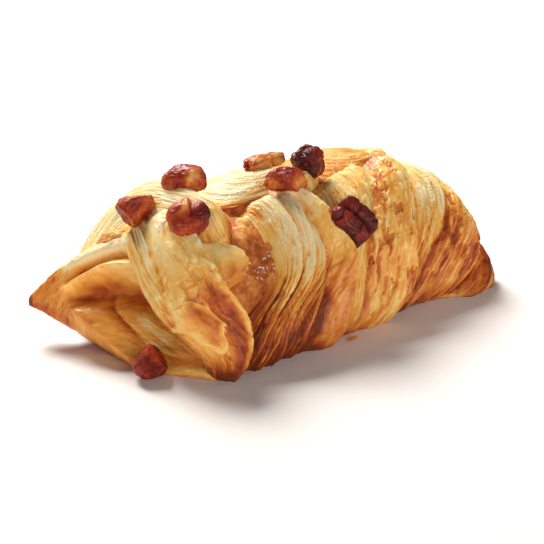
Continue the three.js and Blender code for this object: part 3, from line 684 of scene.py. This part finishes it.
def front_detail(strip, number, u, v, along, over, left_over):
    """Open layers on the near part of a front strip, then a groove and blistered crust."""
    seed = STRIP_SEEDS * number
    crust_at = through(strip["crust"], u) + 0.07 * (noise(seed + 1, along / 5, 0) - 0.5)
    crust = smooth(crust_at - 0.025, crust_at + 0.025, v)
    layer_relief, layer_bake, shoulder = front_layers(strip, seed, u, along, over)
    crust_relief, crust_tone, plate = front_crust(strip, seed, u, along, over)
    calm = (1 - smooth(0.9, 1, u)) * smooth(-0.2, 0.8, left_over)
    detail = calm * mix(layer_relief, crust_relief, crust)
    # Crust browner low and paler high up: partly baked colour, partly painted shade low down
    crust_bake = mix(strip["crust_low"], strip["crust_high"], smooth(0.25, 0.9, u)) + crust_tone
    crust_bake = crust_bake - strip.get("far_pale", 0) * smooth(0.55, 0.9, v) * smooth(0.22, 0.5, u)
    groove = bump(v, crust_at, 0.04) * (1 - smooth(0.6, 0.95, u))
    # Painted contact shade at the foot of the strip, where it meets the floor
    foot = 1 - smooth(0.03, 0.09, u)
    bake = mix(layer_bake, crust_bake, crust) + 0.22 * groove + 0.3 * foot
    gloss = mix(mix(1.0, 0.3, shoulder), mix(0.5, 0.9, plate), crust)
    if strip["name"] == FLAKE["strip"]:
        flake, flake_bake, shade = large_flake(seed, u, v, along, over)
        detail = mix(detail, 0.6 + 0.4 * crust_relief, flake)
        bake = mix(bake, flake_bake + 0.6 * crust_tone, flake) + shade
        gloss = mix(gloss, 0.8, flake)
    return detail, {"bake": bake, "gloss": gloss, "strings": 1 - crust}


def large_flake(seed, u, v, along, over):
    """Where the large flake lies, how brown it is, how much browner the crust beside and below it is, and
    painted shadow in the crack round it.
    """
    middle, reach = FLAKE["middle"], FLAKE["reach"]
    field = 1 - np.hypot((u - middle[0]) / reach[0], (v - middle[1]) / reach[1])
    field = field + 0.4 * (noise(seed + 40, along / 4, over / 4) - 0.5)
    field = field + 0.25 * (noise(seed + 41, along / 1.4, over / 1.4) - 0.5)
    flake = smooth(0, 0.1, field)
    browner = smooth(0.02, 0.5, field) * smooth(-1, 0.2, (v - middle[1]) / reach[1])
    bake = mix(0.36, 0.72, browner) - 0.1 * bump(field, 0.08, 0.08)
    beside = smooth(0.42, 0.66, v) * (1 - smooth(0.8, 0.93, v)) * (1 - smooth(0.36, 0.54, u))
    below = 0.7 * (1 - smooth(0.06, 0.2, u))
    # Painted shadow in the crack round the flake
    crack = bump(field, -0.06, 0.06) * smooth(0.1, 0.4, v)
    shade = (0.48 * np.maximum(beside, below) + 0.12 * crack) * (1 - flake)
    return flake, bake, shade


def back_detail(strip, number, u, v, along, over, left_over):
    """Fine layers over a back strip, browner low on the back and, partly as painted shade, at its edges and
    tip.
    """
    seed = STRIP_SEEDS * number
    relief, layer_tone = layered(seed + 2, along, over, BACK_LEAVES)
    threads, flecks, gaps = fibres(seed + 12, along, over)
    low = 1 - smooth(0.1, 0.45, u)
    edge = 1 - smooth(0, BACK_EDGE_WIDTH, np.minimum(over, left_over))
    tip = smooth(strip["tip"] - 0.06, strip["tip"] + 0.06, u)
    # Browner at the edges and the tip: partly baked colour, partly painted shade where the strips tuck
    # under one another
    bake = mix(strip["pale"], BACK_BAKE, low) + 0.62 * layer_tone + strip["edge"] * edge + 0.3 * tip
    # Painted highlight on the flecks and painted shade in the gaps
    bake = bake + 0.28 * threads - 0.15 * flecks + 0.2 * gaps
    calm = 1 - 0.7 * smooth(strip["tip"] - 0.05, strip["tip"] + 0.1, u)
    detail = calm * (0.45 * relief + 0.4 * threads - 0.3 * gaps)
    return detail, {"bake": bake, "gloss": 0.4, "strings": 1.0}


def tongue_detail(strip, number, u, v, along, over, left_over):
    """Smooth glazed dough with a pale upper edge."""
    crust_relief, crust_tone, _ = crust_looks(STRIP_SEEDS * number + 20, along, over, 0)
    edge = 1 - smooth(0, 3, along / 2)
    bake = strip["pale"] + 0.5 * smooth(0.25, 0.9, u) - 0.2 * edge + 0.35 * crust_tone
    return 0.25 * crust_relief, {"bake": bake, "gloss": 1.0, "strings": 0.0}


def near_folds(t, v):
    """The near end's folds: how far they stand out and how much browner they are, partly painted highlight
    and shade.
    """
    height = 0
    tone = 0
    for begin, path, width, fold_height, fold_tone, (start, full, fade, end) in NEAR_FOLDS:
        shape = bump(v, through(path, (t - begin) / (1 - begin)), width)
        shape = shape * smooth(start, full, t) * (1 - smooth(fade, end, t))
        height = height + fold_height * shape
        tone = tone + fold_tone * shape
    return height, tone


def wall_detail(wall, seed, t, v, along, over):
    """Folds, crust and a patch of open layers on an end wall."""
    fold_height, fold_tone = near_folds(t, v)
    bulge = END_BULGE * np.sin(np.pi * v) * np.sin(np.pi * t)
    tucked = -4 * smooth(0.82, 1.05, v) * (1 - smooth(0.5, 0.8, t))
    relief = wall["folds"] * (fold_height + tucked) + bulge
    middle, reach, run = NEAR_PATCH["middle"], NEAR_PATCH["reach"], NEAR_PATCH["run"]
    from_patch = np.hypot((t - middle[0]) / reach[0], (v - middle[1]) / reach[1])
    patch = wall["folds"] * smooth(1.25, 0.8, from_patch)
    with_leaves = run[0] * along + run[1] * over
    over_leaves = run[0] * over - run[1] * along
    ridge, layer_tone = layered(seed, with_leaves, over_leaves, PATCH_LEAVES)
    threads, flecks, gaps = fibres(seed + 8, with_leaves, over_leaves)
    crust_relief, crust_tone, _ = crust_looks(seed + 20, along, over, 0.2)
    rough = mix(1.8, 0.9, wall["folds"])
    relief = relief + mix(rough * crust_relief, ridge + 0.6 * threads - 0.5 * gaps, patch)
    tip = wall["folds"] * (1 - smooth(0.015, 0.05, t))
    # Painted contact shade along the foot, where the wall meets the floor
    foot = smooth(0.92, 1, v)
    lobe = 1 - smooth(0.15, 0.4, t)
    shaded = 0.18 * lobe + 0.14 * smooth(0.5, 0.75, v)
    corner = (1 - wall["folds"]) * bump(t, 0.36, 0.14) * smooth(0.1, 0.5, v)
    bake = 0.4 + wall["brown"] + wall["folds"] * (fold_tone + shaded) + 0.4 * tip + 0.25 * foot
    # Painted highlight on the flecks and painted shade in the gaps of the patch
    patch_tone = layer_tone + 0.4 * threads + 0.2 * gaps - 0.2 * flecks - 0.18
    bake = bake + 0.36 * corner + mix(rough * crust_tone, patch_tone, patch)
    return relief, {"bake": bake, "gloss": mix(0.8, 0.3, patch), "strings": patch}


def wall_piece(wall, number):
    """An end wall between its top edge and its foot, with folds fanned out on the near one."""
    rows = ACROSS_WALL + WRAP_ROWS
    piece, t, row = sheet(wall["name"], ALONG_WALL, rows)
    v, sunk = wrapped(np.rint(row * rows), ACROSS_WALL)

    def along_wall(part):
        return np.stack([through(column, t) for column in zip(*part)], -1)

    tops, feet, outs = zip(*wall["stations"])
    out = along_wall(outs)
    out = out / np.linalg.norm(out, axis=-1, keepdims=True)
    along = t * WALL_LENGTH
    over = v * WALL_HEIGHT * smooth(-0.1, 0.6, t)
    relief, looks = wall_detail(wall, WALL_SEED + WALL_SEEDS * number, t, v, along, over)
    flat = mix(along_wall(tops), along_wall(feet), v[:, None])
    thick = smooth(0.05, 0.4, t) * (1 - smooth(0.7, 0.95, t))
    points = flat + out * (relief - mix(*wall["thickness"], thick) * sunk)[:, None]
    return baked(piece, points, along, over, **looks)


def inside_far_corner(points, inset):
    """Bring points in from the far end's rounded back corner, so that the strips cover them."""
    beyond = np.maximum(points[:, 0] - FAR_CORNER["start"], 0)
    points[:, 1] = np.minimum(points[:, 1], FAR_CORNER["back"] - inset - FAR_CORNER["slope"] * beyond)


def core_piece():
    """The dough inside the strips: it closes the ends and makes the flat base."""
    rows = 2 * ACROSS_CORE
    piece, u, row = sheet("inner_dough", ALONG_CORE, rows)
    row = np.rint(row * rows)
    v = np.where(row <= ACROSS_CORE, row / ACROSS_CORE, 2 - row / ACROSS_CORE)
    x = mix(CORE_NEAR, CORE_FAR, u)
    points = loaf_point(x, 180 * v, CORE_DEPTH, 0)
    inside_far_corner(points, 0)
    top = points[:, 2] + BASE_THICKNESS * (1 - points[:, 2] / HEIGHT)
    points[:, 2] = np.where(row <= ACROSS_CORE, top, 0)
    return baked(piece, points, x, v * CORE_GIRTH, bake=0.5, gloss=0.3, strings=0.0)


def filling_piece():
    """Brown sugar and chopped nuts, baked rough, golden high up and wet in one place."""
    rows = ACROSS_FILLING + UNDER_FILLING
    piece, u, row = sheet("sugar_filling", ALONG_FILLING, rows)
    row = np.rint(row * rows)
    is_top = row <= ACROSS_FILLING
    v = np.where(is_top, row / ACROSS_FILLING, 1 - (row - ACROSS_FILLING) / UNDER_FILLING)
    x = mix(FILLING_NEAR, FILLING_FAR, u)
    along = u * (FILLING_FAR - FILLING_NEAR)
    over = v * FILLING_GIRTH
    angle = 180 * v
    specks = noise(FILLING_SEED, along / 1.1, over / 1.1)
    lump = smooth(0.3, 0.8, noise(FILLING_SEED + 2, along / 3.5, over / 3.5))
    rough = 0.8 * (lump - 0.5) + 0.5 * (specks - 0.5)
    points = loaf_point(x, angle, rough * np.sin(np.pi * v) - FILLING_DEPTH, 0)
    top = FILLING_FLOOR + 0.4 + points[:, 2] * (1 - FILLING_FLOOR / HEIGHT)
    points[:, 2] = np.where(is_top, top, FILLING_FLOOR)
    inside_far_corner(points, FILLING_INSET)
    golden = 0.3 * smooth(56, 74, angle)
    reach_along, reach_round = WET_PLACE["reach"]
    wet = bump(x, WET_PLACE["x"], reach_along) * bump(angle, WET_PLACE["angle"], reach_round)
    tone = 0.2 + 0.6 * mix(specks, lump, 0.5) + golden
    return baked(piece, points, along, over, sugar=tone, wet=wet)


def noise_3d(seed, place):
    """Smooth random values from 0 to 1 in space, one cell to a unit."""
    table = np.random.default_rng(seed).random((SPACE_CELLS, SPACE_CELLS, SPACE_CELLS))
    cell = np.floor(place).astype(int)
    f = smooth(0, 1, place - cell)
    value = 0
    for corner in np.ndindex(2, 2, 2):
        i, j, k = ((cell + corner) % SPACE_CELLS).T
        weight = np.prod(np.where(corner, f, 1 - f), axis=-1)
        value = value + weight * table[i, j, k]
    return value


def heap_piece():
    """The near end of the filling, swollen up in the opening beside the first strip."""
    piece, ball = ball_piece("sugar_heap", BALL_STEPS)
    turned = ball @ np.array(Quaternion((0.5, 0.4, 0.7), 1.0).to_matrix()).T
    lump = smooth(0.3, 0.8, noise_3d(HEAP_SEED, 2.2 * turned + 8))
    specks = 0.5 * noise_3d(HEAP_SEED + 1, 5 * turned + 12)
    specks = specks + 0.5 * noise_3d(HEAP_SEED + 2, 10 * turned + 12)
    stand = Vector((0, 0, 1)).rotation_difference(loaf_outward(HEAP["x"], HEAP["angle"]))
    shape = ball * (0.88 + 0.16 * lump + 0.12 * specks)[:, None] * np.array(HEAP["size"]) / 2
    drape(piece, shape @ np.array(stand.to_matrix()).T + loaf_point(HEAP["x"], HEAP["angle"], HEAP["lift"]))
    paint(piece, sugar=0.3 + mix(specks, lump, 0.4), wet=0.15)
    return piece


def kernel_place(pecan):
    """Where the middle of a kernel is and how the kernel is turned."""
    if "place" in pecan:
        outward = Vector(pecan["out"]).normalized()
        place = np.array(pecan["place"])
    else:
        outward = loaf_outward(pecan["x"], pecan["angle"])
        place = loaf_point(pecan["x"], pecan["angle"], pecan["lift"])
    stand = Vector((0, 0, 1)).rotation_difference(outward)
    turn = Quaternion((0, 0, 1), math.radians(pecan["heading"]))
    return place, np.array((stand @ turn).to_matrix())


def broken_off(pecan, offsets, rough):
    """Cut a kernel's broken faces and furrows: its points, where it is broken, and its points as seen."""
    broken = np.zeros(len(offsets))
    for right, up, near, distance in pecan["cuts"]:
        direction = np.array((right, up, near)) @ VIEW_AXES
        direction = direction / np.linalg.norm(direction)
        reach = np.max(offsets @ direction)
        beyond = offsets @ direction - distance * reach - rough
        offsets = offsets - 0.9 * np.maximum(beyond, 0)[:, None] * direction
        broken = np.maximum(broken, smooth(0, 0.4, beyond))
    seen = offsets @ VIEW_AXES.T
    for right, width, depth in pecan.get("furrows", ()):
        furrow = depth * bump(seen[:, 0], right, width) * smooth(-3, 2, seen[:, 1])
        offsets = offsets * (1 - furrow)[:, None]
    return offsets, broken, seen


def pecan_piece(pecan, number):
    """A broken half kernel: lobes, a cleft, wrinkled skin and broken faces."""
    piece, ball = ball_piece(pecan["name"] + "_kernel", BALL_STEPS)
    seed = KERNEL_SEED + KERNEL_SEEDS * number
    x, y, z = ball.T
    power = pecan["squareness"]
    square = ball / np.sum(np.abs(ball) ** power, axis=-1, keepdims=True) ** (1 / power)
    swell = noise_3d(seed, 1.6 * ball + 8) - 0.5
    folds = np.abs(noise_3d(seed + 1, 2.6 * ball + 8) - 0.5)
    crease = 1 - smooth(0, 0.12, folds)
    cleft = pecan.get("cleft", 0) * bump(y + 0.1 * swell, 0, 0.16) * smooth(-0.2, 0.5, z)
    wobble = 0.3 * (noise_3d(seed + 2, 2 * ball + 8) - 0.5) + 0.25 * np.sign(y)
    breaks = pecan.get("breaks", 0)
    turns = (x + wobble) * (breaks + 0.5) / 1.2
    cracks = bump(turns - np.rint(turns), 0, 0.08) if breaks else 0 * x
    grain = 0.09 * (noise_3d(seed + 6, 4 * ball + 8) - 0.5)
    grain = grain + 0.07 * (noise_3d(seed + 7, 8 * ball + 12) - 0.5)
    waist = pecan.get("waist", 0) * bump(x, 0.25, 0.3)
    girth = 1 - waist - cleft + 0.24 * swell + grain - pecan["wrinkle"] * crease - 0.09 * cracks
    place, facing = kernel_place(pecan)
    whole = (square * girth[:, None] * (np.array(pecan["size"]) / 2)) @ facing.T
    rough = 0.5 * (noise_3d(seed + 3, 5 * ball + 8) - 0.5)
    offsets, broken, seen = broken_off(pecan, whole, rough)
    drape(piece, offsets + place)
    patch = smooth(0.35, 0.65, noise_3d(seed + 4, 1.5 * ball + 8)) - 0.5
    patch = patch + 0.6 * (smooth(0.35, 0.65, noise_3d(seed + 5, 3.5 * ball + 8)) - 0.5) - 1.6 * grain
    sideways = seen[:, 0] / max(pecan["size"])
    tone = pecan["dark"] + 0.22 * patch + 0.1 * crease + 0.2 * cracks + 0.5 * cleft
    tone = tone + pecan["across"] * sideways
    for right, up, reach, change in pecan.get("marks", ()):
        tone = tone + change * bump(np.hypot(seen[:, 0] - right, seen[:, 1] - up), 0, reach)
    paint(piece, skin=tone - 0.12 * broken * (1 - pecan["dark"]))
    return piece


def crumb_piece():
    """A little flake of crust that has dropped off."""
    piece, ball = ball_piece(CRUMB["name"], CRUMB_STEPS)
    shape = ball * (0.7 + 0.6 * noise_3d(CRUMB_SEED, 1.7 * ball + 8))[:, None] * np.array(CRUMB["size"]) / 2
    drape(piece, shape + np.array(CRUMB["place"]))
    paint(piece, bake=0.62, gloss=0.4, strings=0.0)
    return piece


def srgb(red, green, blue):
    """A colour as seen on screen, from 0 to 255, as the light values that shaders take."""
    values = [channel / 255 for channel in (red, green, blue)]
    return tuple(c / 12.92 if c <= 0.04045 else ((c + 0.055) / 1.055) ** 2.4 for c in values) + (1,)


def fill_in(tree, node, inputs):
    """Give a node's inputs their values, or link them to what makes them."""
    for name, value in inputs.items():
        if isinstance(value, bpy.types.NodeSocket):
            tree.links.new(value, node.inputs[name])
        else:
            node.inputs[name].default_value = value


def add_node(tree, kind, inputs, **settings):
    made = tree.nodes.new(kind)
    for name, value in settings.items():
        setattr(made, name, value)
    fill_in(tree, made, inputs)
    return made


def maths(tree, operation, a, b):
    return add_node(tree, "ShaderNodeMath", {0: a, 1: b}, operation=operation).outputs[0]


def texture_noise(tree, scale, vector=None, detail=3):
    if vector is None:
        vector = add_node(tree, "ShaderNodeTexCoord", {}).outputs["Object"]
    inputs = {"Vector": vector, "Scale": scale, "Detail": detail}
    return add_node(tree, "ShaderNodeTexNoise", inputs).outputs["Fac"]


def stretched(tree, vector, scale):
    return add_node(tree, "ShaderNodeMapping", {"Vector": vector, "Scale": scale}).outputs["Vector"]


def value_of(tree, name):
    return add_node(tree, "ShaderNodeAttribute", {}, attribute_name=name).outputs["Fac"]


def ramp(tree, value, stops):
    made = add_node(tree, "ShaderNodeValToRGB", {"Fac": value})
    points = made.color_ramp.elements
    while len(points) < len(stops):
        points.new(0.5)
    for point, (place, colour) in zip(points, stops):
        point.position = place
        point.color = srgb(*colour)
    return made.outputs["Color"]


def relief_normal(tree, height, strength, distance):
    inputs = {"Height": height, "Strength": strength, "Distance": distance}
    return add_node(tree, "ShaderNodeBump", inputs).outputs["Normal"]


def swing(tree, value, strength):
    """A value from 0 to 1 as a change of that strength, half of it either way."""
    return maths(tree, "MULTIPLY", maths(tree, "SUBTRACT", value, 0.5), strength)


def new_material(name):
    material = bpy.data.materials.new(name)
    material.use_nodes = True
    return material, material.node_tree, material.node_tree.nodes["Principled BSDF"]


# Colours as seen on screen: how brown dough is, how dark a kernel is and how golden sugar is
DOUGH_COLOURS = [
    (0.0, (255, 230, 178)), (0.2, (255, 212, 130)), (0.4, (250, 184, 86)),
    (0.6, (230, 144, 56)), (0.8, (194, 90, 32)), (1.0, (130, 54, 20)),
]
KERNEL_COLOURS = [
    (0.0, (232, 172, 96)), (0.3, (202, 106, 42)), (0.55, (168, 54, 20)),
    (0.8, (120, 32, 18)), (1.0, (84, 22, 16)),
]
SUGAR_COLOURS = [
    (0.2, (150, 66, 22)), (0.5, (196, 106, 40)), (0.8, (226, 156, 76)),
    (1.0, (238, 188, 104)),
]


def dough_material():
    material, tree, shader = new_material("laminated dough")
    flat = add_node(tree, "ShaderNodeUVMap", {}).outputs["UV"]
    # This value holds how brown the dough is baked, together with painted shade and painted highlight
    bake = value_of(tree, "bake")
    gloss = value_of(tree, "gloss")
    strings = value_of(tree, "strings")
    patches = texture_noise(tree, 220)
    grain = texture_noise(tree, 1400)
    streaks = texture_noise(tree, 1, stretched(tree, flat, (26, 150, 1)), 4)
    thread = swing(tree, streaks, maths(tree, "MULTIPLY", strings, 0.5))
    tone = maths(tree, "ADD", maths(tree, "ADD", bake, swing(tree, patches, 0.35)), thread)
    string_height = maths(tree, "MULTIPLY", streaks, strings)
    height = maths(tree, "ADD", string_height, maths(tree, "MULTIPLY", grain, 0.4))
    fill_in(tree, shader, {
        "Base Color": ramp(tree, tone, DOUGH_COLOURS),
        "Roughness": maths(tree, "SUBTRACT", 0.7, maths(tree, "MULTIPLY", gloss, 0.28)),
        "Specular IOR Level": 0.2,
        "Coat Weight": maths(tree, "MULTIPLY", gloss, 0.3),
        "Coat Roughness": 0.22,
        "Subsurface Weight": 0.2,
        "Subsurface Radius": (0.003, 0.0015, 0.0006),
        "Subsurface Scale": 1,
        "Normal": relief_normal(tree, height, 1, 0.0006),
    })
    return material


def sugar_material():
    material, tree, shader = new_material("sugar filling")
    grains = texture_noise(tree, 700)
    wet = value_of(tree, "wet")
    tone = maths(tree, "ADD", value_of(tree, "sugar"), swing(tree, grains, 0.4))
    height = maths(tree, "MULTIPLY", grains, maths(tree, "ADD", maths(tree, "MULTIPLY", wet, 1.6), 0.7))
    fill_in(tree, shader, {
        "Base Color": ramp(tree, tone, SUGAR_COLOURS),
        "Roughness": maths(tree, "SUBTRACT", 0.62, maths(tree, "MULTIPLY", wet, 0.3)),
        "Specular IOR Level": 0.2,
        "Coat Weight": maths(tree, "ADD", maths(tree, "MULTIPLY", wet, 0.8), 0.08),
        "Coat Roughness": 0.1,
        "Normal": relief_normal(tree, height, 0.8, 0.0008),
    })
    return material


def kernel_material():
    material, tree, shader = new_material("glazed kernel")
    mottle = texture_noise(tree, 500)
    wrinkle = texture_noise(tree, 1100)
    tone = maths(tree, "ADD", value_of(tree, "skin"), swing(tree, mottle, 0.28))
    fill_in(tree, shader, {
        "Base Color": ramp(tree, tone, KERNEL_COLOURS),
        "Roughness": 0.5,
        "Specular IOR Level": 0.2,
        "Coat Weight": 0.14,
        "Coat Roughness": 0.14,
        "Subsurface Weight": 0.06,
        "Subsurface Radius": (0.003, 0.0008, 0.0003),
        "Subsurface Scale": 1,
        "Normal": relief_normal(tree, wrinkle, 0.3, 0.0005),
    })
    return material


def floor_material():
    material, tree, shader = new_material("pale floor")
    fill_in(tree, shader, {"Base Color": FLOOR_COLOUR, "Roughness": 0.9})
    return material


def add_floor():
    start_clean()
    bpy.ops.mesh.primitive_plane_add(size=FLOOR_SIZE)
    floor = bpy.context.object
    floor.name = "floor"
    floor.data.materials.append(floor_material())


def add_light(name, place, aim, size, energy):
    start_clean()
    bpy.ops.object.light_add(type="AREA", location=place)
    light = bpy.context.object
    light.name = name
    light.data.energy = energy
    light.data.size = size
    light.rotation_euler = (Vector(aim) - Vector(place)).to_track_quat("-Z", "Y").to_euler()


def add_lights():
    for light in LIGHTS:
        add_light(*light)
    world = bpy.data.worlds.new("studio")
    world.use_nodes = True
    sky = world.node_tree.nodes["Background"]
    fill_in(world.node_tree, sky, {"Color": (1, 1, 1, 1), "Strength": SKY_STRENGTH})
    bpy.context.scene.world = world
    bpy.context.scene.view_settings.view_transform = "Standard"


def add_camera():
    start_clean()
    bpy.ops.object.camera_add()
    camera = bpy.context.object
    half = math.radians(VIEW_ANGLE / 2)
    camera.data.sensor_width = SENSOR_WIDTH
    camera.data.lens = SENSOR_WIDTH / 2 / math.tan(half)
    azimuth = math.radians(VIEW_AZIMUTH)
    elevation = math.radians(VIEW_ELEVATION)
    level = math.cos(elevation)
    back = Vector((math.sin(azimuth) * level, -math.cos(azimuth) * level, math.sin(elevation)))
    target = Vector((np.array(VIEW_TARGET) + ORIGIN) * MM)
    camera.location = target + back * (VIEW_WIDTH * MM / 2 / math.tan(half))
    camera.rotation_euler = (-back).to_track_quat("-Z", "Y").to_euler()
    bpy.context.scene.camera = camera


dough = dough_material()
sugar = sugar_material()
kernel = kernel_material()
dough_pieces = [core_piece(), wall_piece(NEAR_WALL, 0), wall_piece(FAR_WALL, 1)]
for number, strip in enumerate(BACK_STRIPS):
    dough_pieces.append(strip_piece(strip, number, back_lift, back_detail, ACROSS_BACK, False))
dough_pieces.append(strip_piece(TONGUE, 4, back_lift, tongue_detail, ACROSS_BACK, False))
for number, strip in enumerate(FRONT_STRIPS, start=5):
    dough_pieces.append(strip_piece(strip, number, front_lift, front_detail, ACROSS_FRONT, True))
dough_pieces.append(crumb_piece())
for piece in dough_pieces:
    belongs(piece, "pastry", dough)
for piece in (filling_piece(), heap_piece()):
    belongs(piece, "filling", sugar)
for number, pecan in enumerate(PECANS):
    belongs(pecan_piece(pecan, number), pecan["name"], kernel)

add_floor()
add_lights()
add_camera()
